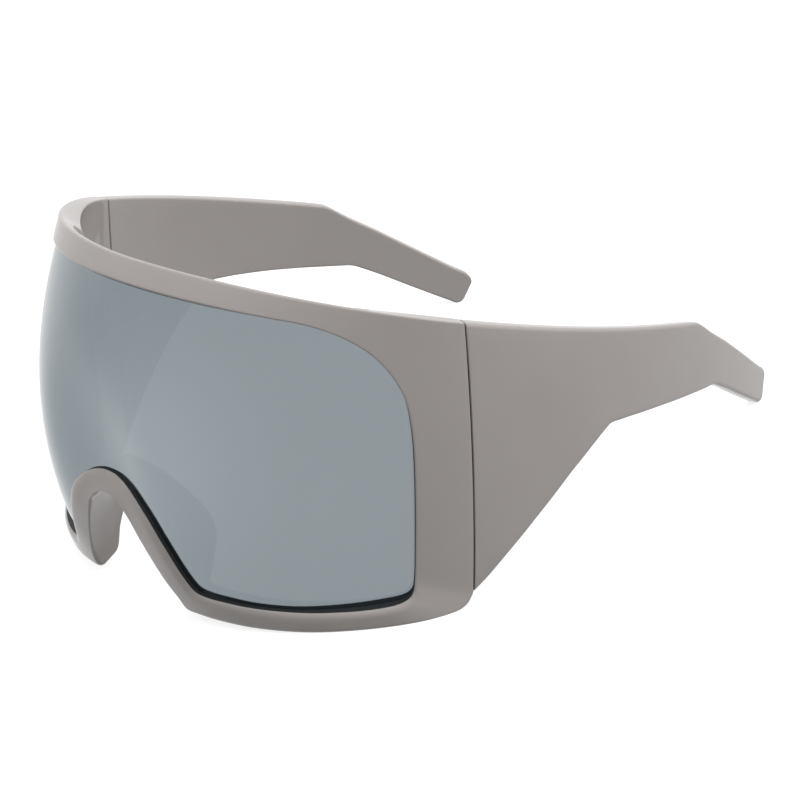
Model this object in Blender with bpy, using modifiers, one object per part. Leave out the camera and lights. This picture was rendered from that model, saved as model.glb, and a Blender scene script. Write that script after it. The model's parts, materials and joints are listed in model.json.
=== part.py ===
"""One-piece shield sunglasses with deep folding temples.

The glasses are drawn in their wearing position: +Z up, the face looks along -Y,
the temples run back along +Y and +X is the wearer's left. The top line of the
temples lies in the plane Z = 0 and the seams between front and temples start
there at Y = 0. An empty then tips the whole model onto the table, where it
stands on the bottom rim and on the two temple tips.
"""
import math

import bmesh
import bpy
import numpy as np
from mathutils import Matrix, Vector

MM = 0.001

# Clearances
GAP = 0.3 * MM              # between seated pieces
LAND = 0.25 * MM            # depth of the flats that it stands on
PROBE = 0.05 * MM           # step for measuring a surface's slope

# Overall shape of the wrap
SEAM_HALF_WIDTH = 69.4 * MM
FRONT_REACH = 57.2 * MM     # how far the shield bulges ahead of the seams
TOP_REACH = 41.0 * MM       # the same at the brow
FULLEST_DROP = 43.1 * MM    # below the top line, where the bulge is greatest
SIDE_BULGE = 0.9 * MM
SIDE_BULGE_DROP = 27.6 * MM
FRONT_HANDLE = 22.0 * MM    # length of the flat middle of the plan curve
SIDE_HANDLE = 34.2 * MM
TILT_SHARE = 0.2535         # lean of the seams: back per unit of drop
SHIELD_HEIGHT = 78.1 * MM
SEAM_HEIGHT = 61.1 * MM
NOSE_DENT = 9.2 * MM        # how far the shield is drawn in over the nose
NOSE_DENT_WIDTH = 16.5 * MM
NOSE_DENT_TOP = 14.0 * MM   # drop where the dent starts
NOSE_DENT_FULL = 49.0 * MM  # drop where it reaches its depth

# Front frame, heights over and depths under the wrapped surface
EDGE = 0.45 * MM
BROW_PROUD = 1.0 * MM
BROW_DEPTH = 5.2 * MM
BROW_SLOPE = 1.3 * MM       # the brow's top falls this much towards the back
RIM_PROUD = 1.9 * MM        # bottom rim and nose legs
RIM_DEPTH = 3.9 * MM
RIM_ROUND = 2.0 * MM        # round shoulder beside the lens, its width
RIM_ROUND_DROP = 0.9 * MM   # and its height
WALL = 4.2 * MM             # side panels and temples at the seam
NOSE_LIP = 1.8 * MM         # the bridge's lower edge stands further forward
PAD_WALL = 1.8 * MM
PAD_DEPTH = 9.8 * MM        # nose saddle behind the rim
PAD_LEAN = 4.5 * MM

# Lens and its groove
LENS_THICKNESS = 1.9 * MM
SIDE_SINK = 1.2 * MM        # how far the lens lies in at its side edges
SINK_START_SHARE = 0.45
SINK_FULL_SHARE = 0.85
GROOVE_DEPTH = 1.5 * MM
BACK_LIP = 1.2 * MM         # wall behind the groove

# Temples
TEMPLE_LENGTH = 112.4 * MM  # behind the seam line
TEMPLE_FLARE = 13.3 * MM    # controls of the temple's bow, at a third,
TEMPLE_BOW = 2.3 * MM       # at two thirds
TEMPLE_TUCK = 16.1 * MM     # and at the tip, inward
TIP_DROP = 24.0 * MM
TIP_WALL = 3.2 * MM
TEMPLE_EDGE = 0.9 * MM

# Hinges
HINGE_DROP = 27.6 * MM      # middle of the hinge below the top line
KNUCKLES = 5
KNUCKLE_HEIGHT = 2.0 * MM
BARREL_RADIUS = 1.8 * MM
BORE_RADIUS = 0.95 * MM
PIN_RADIUS = 0.65 * MM
PIN_HEAD_RADIUS = 1.5 * MM
PIN_HEAD_HEIGHT = 0.7 * MM
LEAF_LENGTH = 7.2 * MM
LEAF_THICKNESS = 0.9 * MM
PLINTH = 2.0 * MM           # how far the moulded plinth stands off the wall
PLINTH_MARGIN = 0.8 * MM
SCREW_SPACING = 5.4 * MM
SCREW_HOLE_RADIUS = 0.9 * MM
SCREW_RADIUS = 0.6 * MM
SCREW_HEAD_RADIUS = 1.3 * MM
SCREW_HEAD_HEIGHT = 0.6 * MM
SCREW_BITE = 2.5 * MM       # length of shank below the plinth's face
CHAMFER = 0.12 * MM
OVERRUN = 1.0 * MM          # by which a cutter passes what it cuts

# Derived sizes
GROOVE_BACK = LENS_THICKNESS + GAP
AXIS_INSET = WALL + GAP + BARREL_RADIUS
HINGE_HEIGHT = KNUCKLES * KNUCKLE_HEIGHT + (KNUCKLES - 1) * GAP
LEAF_START = BARREL_RADIUS + GAP
PLINTH_FACE = AXIS_INSET - WALL - PLINTH
LEAF_OUTER = PLINTH_FACE - GAP
LEAF_INNER = LEAF_OUTER - LEAF_THICKNESS

# The ring of the front, from the middle of the brow round to the nose bridge.
# Each row: outer edge (round the wrap, down the shield), lens opening (the same),
# then shares of brow depth, rim depth, saddle pad and bridge lip.
RING_SHARES = (
    (0.000, 0.000, 0.000, 0.072, 1.0, 0.0, 0.0, 0.0),
    (0.110, 0.000, 0.110, 0.073, 1.0, 0.0, 0.0, 0.0),
    (0.210, 0.000, 0.208, 0.074, 1.0, 0.0, 0.0, 0.0),
    (0.320, 0.000, 0.310, 0.074, 1.0, 0.0, 0.0, 0.0),
    (0.430, 0.000, 0.410, 0.073, 1.0, 0.0, 0.0, 0.0),
    (0.530, 0.000, 0.505, 0.071, 0.9, 0.0, 0.0, 0.0),
    (0.630, 0.000, 0.595, 0.070, 0.7, 0.0, 0.0, 0.0),
    (0.730, 0.000, 0.670, 0.082, 0.45, 0.0, 0.0, 0.0),
    (0.830, 0.000, 0.735, 0.107, 0.2, 0.0, 0.0, 0.0),
    (0.920, 0.000, 0.785, 0.141, 0.05, 0.0, 0.0, 0.0),
    (1.000, 0.000, 0.826, 0.189, 0.0, 0.0, 0.0, 0.0),
    (1.000, 0.120, 0.852, 0.247, 0.0, 0.0, 0.0, 0.0),
    (1.000, 0.260, 0.866, 0.340, 0.0, 0.0, 0.0, 0.0),
    (1.000, 0.400, 0.872, 0.450, 0.0, 0.0, 0.0, 0.0),
    (1.000, 0.540, 0.872, 0.570, 0.0, 0.0, 0.0, 0.0),
    (1.000, 0.670, 0.868, 0.680, 0.0, 0.0, 0.0, 0.0),
    (1.000, 0.782, 0.862, 0.755, 0.0, 0.0, 0.0, 0.0),
    (0.978, 0.820, 0.853, 0.794, 0.0, 0.35, 0.0, 0.0),
    (0.930, 0.850, 0.830, 0.820, 0.0, 0.75, 0.0, 0.0),
    (0.860, 0.872, 0.788, 0.840, 0.0, 1.0, 0.0, 0.0),
    (0.751, 0.909, 0.705, 0.868, 0.0, 1.0, 0.0, 0.0),
    (0.605, 0.953, 0.590, 0.896, 0.0, 1.0, 0.0, 0.0),
    (0.470, 0.977, 0.475, 0.909, 0.0, 1.0, 0.0, 0.0),
    (0.370, 0.988, 0.393, 0.914, 0.0, 1.0, 0.0, 0.0),
    (0.303, 0.990, 0.348, 0.910, 0.0, 1.0, 0.0, 0.0),
    (0.262, 0.980, 0.320, 0.896, 0.0, 1.0, 0.15, 0.1),
    (0.243, 0.952, 0.303, 0.868, 0.0, 1.0, 0.60, 0.2),
    (0.222, 0.905, 0.284, 0.828, 0.0, 1.0, 0.92, 0.3),
    (0.188, 0.838, 0.256, 0.776, 0.0, 1.0, 1.00, 0.4),
    (0.148, 0.768, 0.209, 0.711, 0.0, 1.0, 0.98, 0.6),
    (0.112, 0.724, 0.143, 0.663, 0.0, 1.0, 0.90, 0.8),
    (0.060, 0.697, 0.070, 0.643, 0.0, 1.0, 0.80, 0.95),
    (0.000, 0.688, 0.000, 0.636, 0.0, 1.0, 0.76, 1.0),
)
CORNER_ROWS = (10, 16)
RING_STEPS = 2

# The temple from the seam to the tip. Each row: top edge (behind the seam as a
# share of the length, drop as a share of the tip's drop), bottom edge (behind
# the seam, drop as a share of the seam's height, drop as a share of the tip's).
TEMPLE_SHARES = (
    (0.000, 0.000, 0.000, 1.000, 0.000),
    (0.045, 0.000, 0.030, 0.933, 0.000),
    (0.098, 0.000, 0.064, 0.853, 0.000),
    (0.165, 0.000, 0.136, 0.696, 0.000),
    (0.236, 0.000, 0.216, 0.535, 0.000),
    (0.290, 0.000, 0.272, 0.438, 0.000),
    (0.330, 0.000, 0.303, 0.384, 0.000),
    (0.375, 0.000, 0.340, 0.346, 0.000),
    (0.425, 0.000, 0.395, 0.325, 0.000),
    (0.510, 0.000, 0.492, 0.299, 0.000),
    (0.575, 0.000, 0.567, 0.278, 0.000),
    (0.624, 0.008, 0.622, 0.265, 0.000),
    (0.663, 0.075, 0.672, 0.253, 0.000),
    (0.705, 0.154, 0.706, 0.150, 0.255),
    (0.785, 0.300, 0.750, 0.060, 0.520),
    (0.866, 0.442, 0.820, 0.000, 0.772),
    (0.928, 0.553, 0.880, 0.000, 0.874),
    (0.971, 0.633, 0.929, 0.000, 0.956),
    (0.986, 0.664, 0.943, 0.000, 0.976),
    (0.992, 0.688, 0.951, 0.000, 0.974),
    (0.994, 0.712, 0.957, 0.000, 0.955),
)
TEMPLE_STEPS = 2
TEMPLE_FACE_SHARES = (0.0, 0.2, 0.4, 0.6, 0.8, 1.0)

LENS_COLUMNS = 32
LENS_ROWS = 9
LENS_SPREAD = 1.45          # crowds the lens's columns towards its side edge
LENS_END_SHARE = 0.5        # its last column is this much shorter at each end
ROUND_SIDES = 20
SMOOTH_ANGLE = math.radians(35)
STEEPEST_PITCH = math.radians(45)
PITCH_HALVINGS = 40

FRAME_COLOUR = (0.36, 0.335, 0.31, 1.0)
LENS_COLOUR = (0.30, 0.35, 0.38, 1.0)
METAL_COLOUR = (0.55, 0.55, 0.56, 1.0)


def clear_scene():
    for old in list(bpy.data.objects):
        bpy.data.objects.remove(old, do_unlink=True)


def collection(name):
    made = bpy.data.collections.new(name)
    bpy.context.scene.collection.children.link(made)
    return made


def material(name, colour, roughness, metallic):
    made = bpy.data.materials.new(name)
    made.use_nodes = True
    shader = made.node_tree.nodes["Principled BSDF"]
    shader.inputs["Base Color"].default_value = colour
    shader.inputs["Roughness"].default_value = roughness
    shader.inputs["Metallic"].default_value = metallic
    return made


# The wrapped outer surface

SEAM_ANGLE = math.atan(TEMPLE_FLARE / (TEMPLE_LENGTH / 3))


def smooth_step(value):
    value = min(max(value, 0.0), 1.0)
    return value * value * (3 - 2 * value)


def half_width(z):
    off = (z + SIDE_BULGE_DROP) / SIDE_BULGE_DROP
    return SEAM_HALF_WIDTH + SIDE_BULGE * (1 - off * off)


def reach(z):
    off = (z + FULLEST_DROP) / FULLEST_DROP
    return FRONT_REACH - (FRONT_REACH - TOP_REACH) * off * off


def front_surface(share, z):
    """Point of the front's outer surface, share 0 at the middle and 1 at the seam."""
    side = math.copysign(1.0, share)
    share = abs(share)
    width = half_width(z)
    depth = reach(z)
    handle = SIDE_HANDLE * depth / FRONT_REACH
    rest = 1 - share
    weights = (rest ** 3, 3 * rest * rest * share, 3 * rest * share * share, share ** 3)
    x = weights[1] * FRONT_HANDLE + weights[2] * (width - handle * math.sin(SEAM_ANGLE))
    x += weights[3] * width
    y = -(weights[0] + weights[1]) * depth - weights[2] * handle * math.cos(SEAM_ANGLE)
    fade = smooth_step((-z - NOSE_DENT_TOP) / (NOSE_DENT_FULL - NOSE_DENT_TOP))
    dent = NOSE_DENT * fade * math.exp(-((x / NOSE_DENT_WIDTH) ** 2))
    return Vector((side * x, y - TILT_SHARE * z + dent, z))


def temple_surface(back, z):
    """Point of the left temple's outer surface, back measured from the seam line."""
    share = back / TEMPLE_LENGTH
    rest = 1 - share
    out = 3 * rest * rest * share * TEMPLE_FLARE + 3 * rest * share * share * TEMPLE_BOW
    out -= share ** 3 * TEMPLE_TUCK
    return Vector((half_width(z) + out, back - TILT_SHARE * z, z))


def outward(surface, u, step, z):
    along = surface(u + step, z) - surface(u - step, z)
    up = surface(u, z + PROBE) - surface(u, z - PROBE)
    return along.cross(up).normalized()


def front_point(share, z, height):
    normal = outward(front_surface, share, PROBE / SEAM_HALF_WIDTH, z)
    return front_surface(share, z) + normal * height


def temple_point(back, z, height):
    return temple_surface(back, z) + outward(temple_surface, back, PROBE, z) * height


# Smooth columns through the hand-chosen rows

def spline(values, position):
    """Catmull-Rom through the values, mirrored past both ends by the caller."""
    low = min(int(position), len(values) - 4)
    part = position - low
    a, b, c, d = values[low:low + 4]
    lead = -a + 3 * b - 3 * c + d
    bend = 2 * a - 5 * b + 4 * c - d
    return 0.5 * (2 * b + (c - a) * part + bend * part ** 2 + lead * part ** 3)


def column(rows, index, steps, breaks=(), odd=False, closed=True):
    """One column of a table, refined; breaks are rows where it turns sharply."""
    values = [row[index] for row in rows]
    edges = [0] + list(breaks) + [len(values) - 1]
    refined = []
    for first, last in zip(edges[:-1], edges[1:]):
        part = values[first:last + 1]
        sign = -1 if odd else 1
        if first == 0 and closed:
            before = sign * part[1]
        else:
            before = 2 * part[0] - part[1]
        if last == len(values) - 1 and closed:
            after = sign * part[-2]
        else:
            after = 2 * part[-1] - part[-2]
        padded = [before] + part + [after]
        count = (last - first) * steps
        for number in range(count):
            refined.append(spline(padded, number / steps))
    refined.append(values[-1])
    return refined


def mesh_object(name, verts, faces, where):
    mesh = bpy.data.meshes.new(name)
    mesh.from_pydata([tuple(v) for v in verts], [], faces)
    mesh.validate()
    made = bpy.data.objects.new(name, mesh)
    where.objects.link(made)
    return made


def loft(name, sections, where, caps):
    """Closed sections in a row, joined by quads, with optional end caps."""
    size = len(sections[0])
    verts = [point for section in sections for point in section]
    faces = []
    for row in range(len(sections) - 1):
        for k in range(size):
            a = row * size + k
            b = row * size + (k + 1) % size
            faces.append((a, b, b + size, a + size))
    if caps:
        last = len(verts) - size
        for k in range(size // 2 - 1):
            cap = (k, size - 1 - k, size - 2 - k, k + 1)
            faces.append(cap)
            faces.append(tuple(last + corner for corner in reversed(cap)))
    return mesh_object(name, verts, faces, where)


def baked(obj, name, where):
    """The evaluated mesh of an object as a plain object."""
    graph = bpy.context.evaluated_depsgraph_get()
    mesh = bpy.data.meshes.new_from_object(obj.evaluated_get(graph))
    mesh.name = name
    made = bpy.data.objects.new(name, mesh)
    made.matrix_world = obj.matrix_world.copy()
    where.objects.link(made)
    return made


def dropped(obj):
    bpy.data.objects.remove(obj, do_unlink=True)


def recalculated(obj):
    bm = bmesh.new()
    bm.from_mesh(obj.data)
    bmesh.ops.triangulate(bm, faces=bm.faces)
    bmesh.ops.recalc_face_normals(bm, faces=bm.faces)
    bm.to_mesh(obj.data)
    bm.free()


def combined(base, others, operation, name, where):
    """Base with every other object joined or cut away; all of them are used up."""
    for other in others:
        step = base.modifiers.new(operation.lower(), "BOOLEAN")
        step.operation = operation
        step.solver = "EXACT"
        step.object = other
        other.hide_render = True
        other.display_type = "WIRE"
    bpy.context.view_layer.update()
    made = baked(base, name, where)
    for used in [base] + list(others):
        dropped(used)
    return made


# Front frame: one ring, lens groove, saddle pads

def ring_columns():
    outer_u = column(RING_SHARES, 0, RING_STEPS, CORNER_ROWS, odd=True)
    outer_z = column(RING_SHARES, 1, RING_STEPS, CORNER_ROWS)
    open_u = column(RING_SHARES, 2, RING_STEPS, odd=True)
    rest = [column(RING_SHARES, k, RING_STEPS) for k in range(3, 8)]
    seam = 1 - (GAP / 2) / (3 * SIDE_HANDLE)
    outer_u = [min(u, seam) for u in outer_u]
    return list(zip(outer_u, outer_z, open_u, *rest))


def fitted_drop(z_share):
    """Drop for a share of the outline, so that the seam's corner sits at its height."""
    drawn = RING_SHARES[CORNER_ROWS[1]][1]
    if z_share <= drawn:
        return -z_share / drawn * SEAM_HEIGHT
    past = (z_share - drawn) / (1 - drawn)
    return -SEAM_HEIGHT - past * (SHIELD_HEIGHT - SEAM_HEIGHT)


def lens_height(share):
    """Height of the lens's front face, which sinks towards the side panels."""
    past = (abs(share) - SINK_START_SHARE) / (SINK_FULL_SHARE - SINK_START_SHARE)
    return -SIDE_SINK * smooth_step(past)


def ring_section(row):
    outer_u, outer_z, open_u, open_z, brow, rim, pad, lip = row
    start = Vector((outer_u, fitted_drop(outer_z)))
    end = Vector((open_u, fitted_drop(open_z)))
    width = (front_surface(*end) - front_surface(*start)).length
    proud = brow * BROW_PROUD + rim * RIM_PROUD
    depth = WALL + brow * (BROW_DEPTH - WALL) + rim * (RIM_DEPTH - WALL)
    lift = max(lip, 0.0) * NOSE_LIP
    slope = brow * BROW_SLOPE
    lean = slope + max(pad, 0.0) * PAD_LEAN
    back = depth + max(pad, 0.0) * PAD_DEPTH
    shoulder = EDGE + rim * (RIM_ROUND - EDGE)
    fall = EDGE + rim * (RIM_ROUND_DROP - EDGE)
    midway = 1 - math.cos(math.pi / 4)
    inner = width - GROOVE_DEPTH
    root = PAD_WALL + EDGE + slope
    flat = width - EDGE - shoulder

    def place(across, height):
        at = start + (end - start) * (across / width)
        return front_point(at.x, at.y, height)

    def face(across, height):
        return place(across, proud + lift * (1 - across / width) + height)

    def seat(across, height):
        at = start + (end - start) * (across / width)
        return front_point(at.x, at.y, lens_height(at.x) + height)

    return [
        face(0, -EDGE),
        face(EDGE, 0),
        face(EDGE + flat / 3, 0),
        face(EDGE + flat * 2 / 3, 0),
        face(width - shoulder, 0),
        face(width - shoulder * midway, -fall * midway),
        face(width, -fall),
        seat(width, GAP),
        seat(inner, GAP),
        seat(inner, -GROOVE_BACK),
        seat(width, -GROOVE_BACK),
        seat(width, -GROOVE_BACK - BACK_LIP),
        place(root + (width - root) * 2 / 3, -depth),
        place(root + (width - root) / 3, -depth),
        place(root, -depth),
        place(PAD_WALL + lean, -back),
        place(EDGE + lean, -back),
        place(lean, EDGE - back),
        place(lean / 3, (proud + lift - back) / 2),
    ]


def half_front(where):
    sections = [ring_section(row) for row in ring_columns()]
    made = loft("front_half", sections, where, caps=False)
    for vertex in made.data.vertices:
        on_plane = vertex.index < len(sections[0])
        on_plane = on_plane or vertex.index >= len(made.data.vertices) - len(sections[0])
        if on_plane:
            vertex.co.x = 0
    mirror = made.modifiers.new("mirror", "MIRROR")
    mirror.use_mirror_merge = True
    mirror.merge_threshold = 0.00001
    return made


# Lens

def lens_outline():
    points = []
    for row in ring_columns():
        start = Vector((row[0], fitted_drop(row[1])))
        end = Vector((row[2], fitted_drop(row[3])))
        width = (front_surface(*end) - front_surface(*start)).length
        at = end + (start - end) * ((GROOVE_DEPTH - GAP) / width)
        points.append((at.x, at.y))
    return points


def half_lens(where):
    outline = lens_outline()
    widest = max(range(len(outline)), key=lambda k: outline[k][0])
    top = outline[:widest + 1]
    bottom = outline[widest:][::-1]
    limit = outline[widest][0]
    front = []
    back = []
    for number in range(LENS_COLUMNS + 1):
        part = number / LENS_COLUMNS
        share = limit * (1 - (1 - part) ** LENS_SPREAD)
        high = np.interp(share, [p[0] for p in top], [p[1] for p in top])
        low = np.interp(share, [p[0] for p in bottom], [p[1] for p in bottom])
        if number == LENS_COLUMNS:
            high += (before[0] - high) * LENS_END_SHARE
            low += (before[1] - low) * LENS_END_SHARE
        before = (high, low)
        for step in range(LENS_ROWS + 1):
            z = high + (low - high) * step / LENS_ROWS
            front.append(front_point(share, z, lens_height(share)))
            back.append(front_point(share, z, lens_height(share) - LENS_THICKNESS))
    rows = LENS_ROWS + 1
    offset = len(front)
    faces = []
    for i in range(LENS_COLUMNS):
        for j in range(LENS_ROWS):
            a = i * rows + j
            quad = (a, a + rows, a + rows + 1, a + 1)
            faces.append(tuple(reversed(quad)))
            faces.append(tuple(k + offset for k in quad))
    rim = [i * rows for i in range(LENS_COLUMNS + 1)]
    rim += [LENS_COLUMNS * rows + j for j in range(1, rows)]
    rim += [i * rows + LENS_ROWS for i in reversed(range(LENS_COLUMNS))]
    for a, b in zip(rim[:-1], rim[1:]):
        faces.append((a, b, b + offset, a + offset))
    made = mesh_object("lens_half", front + back, faces, where)
    for vertex in made.data.vertices:
        if vertex.index % offset < rows:
            vertex.co.x = 0
    mirror = made.modifiers.new("mirror", "MIRROR")
    mirror.use_mirror_merge = True
    mirror.merge_threshold = 0.00001
    return made


# Temple

def temple_rows():
    high_b = column(TEMPLE_SHARES, 0, TEMPLE_STEPS, closed=False)
    high_z = column(TEMPLE_SHARES, 1, TEMPLE_STEPS, closed=False)
    low = [column(TEMPLE_SHARES, k, TEMPLE_STEPS, closed=False) for k in (2, 3, 4)]
    return list(zip(high_b, high_z, *low))


def temple_section(row):
    high = Vector((row[0] * TEMPLE_LENGTH, -max(row[1], 0.0) * TIP_DROP))
    low = Vector((row[2] * TEMPLE_LENGTH, -row[3] * SEAM_HEIGHT - row[4] * TIP_DROP))
    high.x = max(high.x, GAP / 2)
    low.x = max(low.x, GAP / 2)
    length = (low - high).length
    wall = WALL + (TIP_WALL - WALL) * row[2]
    edge = min(TEMPLE_EDGE, wall / 3)

    def place(down, height):
        at = high + (low - high) * (down / length)
        return temple_point(at.x, at.y, height)

    downs = [edge + (length - 2 * edge) * share for share in TEMPLE_FACE_SHARES]
    outer = [place(0, -edge)] + [place(d, 0) for d in downs] + [place(length, -edge)]
    inner = [place(length, edge - wall)]
    inner += [place(d, -wall) for d in reversed(downs)] + [place(0, edge - wall)]
    return outer + inner


def temple_body(where):
    sections = [temple_section(row) for row in temple_rows()]
    made = loft("temple_body", sections, where, caps=True)
    recalculated(made)
    return made


# Hinge, drawn on its axis: X outward, Y back along the temple, Z up the axis

def hinge_matrix():
    z = -HINGE_DROP
    out = outward(temple_surface, 0, PROBE, z)
    up = (temple_surface(0, z + PROBE) - temple_surface(0, z - PROBE)).normalized()
    back = up.cross(out).normalized()
    out = back.cross(up).normalized()
    centre = temple_surface(0, z) - out * AXIS_INSET
    turned = Matrix((out, back, up)).transposed().to_4x4()
    return Matrix.Translation(centre) @ turned


def box(low, high, where):
    bpy.ops.mesh.primitive_cube_add(size=1)
    made = bpy.context.active_object
    size = [b - a for a, b in zip(low, high)]
    middle = [(a + b) / 2 for a, b in zip(low, high)]
    made.data.transform(Matrix.Translation(middle) @ Matrix.Diagonal(size).to_4x4())
    moved_to(made, where)
    return made


def rod(radius, low, high, where, along_x=False, at=(0, 0)):
    bpy.ops.mesh.primitive_cylinder_add(vertices=ROUND_SIDES, radius=radius, depth=high - low)
    made = bpy.context.active_object
    middle = (low + high) / 2
    if along_x:
        turn = Matrix.Rotation(math.pi / 2, 4, "Y")
        made.data.transform(Matrix.Translation((middle, at[0], at[1])) @ turn)
    else:
        made.data.transform(Matrix.Translation((at[0], at[1], middle)))
    moved_to(made, where)
    return made


def moved_to(obj, where):
    for old in list(obj.users_collection):
        old.objects.unlink(obj)
    where.objects.link(obj)


def turned(name, profile, where):
    """A turned piece from its profile (radius, height), top to bottom."""
    mesh = bpy.data.meshes.new("profile")
    edges = [(k, k + 1) for k in range(len(profile) - 1)]
    mesh.from_pydata([(r, 0, z) for r, z in profile], edges, [])
    made = bpy.data.objects.new("profile", mesh)
    where.objects.link(made)
    screw = made.modifiers.new("turn", "SCREW")
    screw.axis = "Z"
    screw.steps = ROUND_SIDES
    screw.render_steps = ROUND_SIDES
    screw.use_merge_vertices = True
    screw.merge_threshold = 0.00001
    screw.use_smooth_shade = False
    bpy.context.view_layer.update()
    done = baked(made, name, where)
    dropped(made)
    recalculated(done)
    return done


def knuckle_span(number):
    low = -HINGE_HEIGHT / 2 + number * (KNUCKLE_HEIGHT + GAP)
    return low, low + KNUCKLE_HEIGHT


def leaf(name, side, numbers, where):
    """A hinge leaf; side -1 is the front's, +1 the temple's."""
    near = side * LEAF_START
    far = side * (LEAF_START + LEAF_LENGTH)
    plate = box((LEAF_INNER, min(near, far), -HINGE_HEIGHT / 2),
                (LEAF_OUTER, max(near, far), HINGE_HEIGHT / 2), where)
    additions = []
    for number in numbers:
        low, high = knuckle_span(number)
        additions.append(rod(BARREL_RADIUS, low, high, where))
        web = side * (LEAF_START + OVERRUN)
        additions.append(box((LEAF_INNER, min(0, web), low),
                             (LEAF_OUTER, max(0, web), high), where))
    whole = combined(plate, additions, "UNION", "leaf_whole", where)
    cuts = [rod(BORE_RADIUS, -HINGE_HEIGHT, HINGE_HEIGHT, where)]
    for height in screw_heights():
        cuts.append(rod(SCREW_HOLE_RADIUS, LEAF_INNER - OVERRUN, LEAF_OUTER + OVERRUN,
                        where, along_x=True, at=(side * screw_back(), height)))
    return combined(whole, cuts, "DIFFERENCE", name, where)


def screw_heights():
    return (SCREW_SPACING / 2, -SCREW_SPACING / 2)


def screw_back():
    return LEAF_START + LEAF_LENGTH / 2 + SCREW_HEAD_RADIUS / 2


def plinth(side, where):
    near = side * (LEAF_START + GAP)
    far = side * (LEAF_START + LEAF_LENGTH + PLINTH_MARGIN)
    half = HINGE_HEIGHT / 2 + PLINTH_MARGIN
    return box((PLINTH_FACE, min(near, far), -half),
               (PLINTH_FACE + PLINTH + WALL / 2, max(near, far), half), where)


def pilots(side, where):
    low = PLINTH_FACE - OVERRUN
    high = PLINTH_FACE + SCREW_BITE + GAP
    return [rod(SCREW_HOLE_RADIUS, low, high, where, along_x=True,
                at=(side * screw_back(), height)) for height in screw_heights()]


def pan_screw(name, side, height, where):
    top = SCREW_HEAD_HEIGHT
    length = LEAF_THICKNESS + 2 * GAP + SCREW_BITE
    profile = ((0, top), (SCREW_HEAD_RADIUS - 2 * CHAMFER, top),
               (SCREW_HEAD_RADIUS, top - 2 * CHAMFER), (SCREW_HEAD_RADIUS, 0),
               (SCREW_RADIUS, 0), (SCREW_RADIUS, CHAMFER - length),
               (SCREW_RADIUS - CHAMFER, -length), (0, -length))
    made = turned(name, profile, where)
    turn = Matrix.Rotation(-math.pi / 2, 4, "Y")
    seat = Matrix.Translation((LEAF_INNER - GAP, side * screw_back(), height))
    made.data.transform(seat @ turn)
    return made


def hinge_pin(name, where):
    seat = HINGE_HEIGHT / 2 + GAP
    top = seat + PIN_HEAD_HEIGHT
    foot = -HINGE_HEIGHT / 2
    profile = ((0, top), (PIN_HEAD_RADIUS - 2 * CHAMFER, top),
               (PIN_HEAD_RADIUS, top - 2 * CHAMFER), (PIN_HEAD_RADIUS, seat),
               (PIN_RADIUS, seat), (PIN_RADIUS, foot + CHAMFER),
               (PIN_RADIUS - CHAMFER, foot), (0, foot))
    return turned(name, profile, where)


# Standing on the table

def coordinates(obj):
    return np.array([tuple(obj.matrix_world @ v.co) for v in obj.data.vertices])


def lowest(points, pitch):
    return (points[:, 2] * math.cos(pitch) - points[:, 1] * math.sin(pitch)).min()


def resting_pitch(front, temple):
    """Pitch at which the rim and the temple tips touch one level plane."""
    low, high = 0.0, STEEPEST_PITCH
    for _ in range(PITCH_HALVINGS):
        pitch = (low + high) / 2
        if lowest(front, pitch) < lowest(temple, pitch):
            low = pitch
        else:
            high = pitch
    return (low + high) / 2


def flattened(obj, pitch, level):
    """Cut the piece off at the table plane, which leaves flats to stand on."""
    down = Vector((0, math.sin(pitch), -math.cos(pitch)))
    bm = bmesh.new()
    bm.from_mesh(obj.data)
    everything = bm.verts[:] + bm.edges[:] + bm.faces[:]
    cut = bmesh.ops.bisect_plane(bm, geom=everything, plane_co=-down * level,
                                 plane_no=down, clear_outer=True, dist=1e-9)
    edges = [e for e in cut["geom_cut"] if isinstance(e, bmesh.types.BMEdge)]
    bmesh.ops.holes_fill(bm, edges=edges)
    bmesh.ops.recalc_face_normals(bm, faces=bm.faces)
    bm.to_mesh(obj.data)
    bm.free()


def shaded(obj):
    obj.data.shade_smooth()
    obj.data.set_sharp_from_angle(angle=SMOOTH_ANGLE)


def mirrored(obj, name, where):
    mesh = obj.data.copy()
    mesh.name = name
    mesh.transform(Matrix.Diagonal((-1, 1, 1)).to_4x4())
    mesh.flip_normals()
    made = bpy.data.objects.new(name, mesh)
    where.objects.link(made)
    return made


def centred_on(obj, point):
    obj.data.transform(Matrix.Translation(-point))
    obj.location = point


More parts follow.
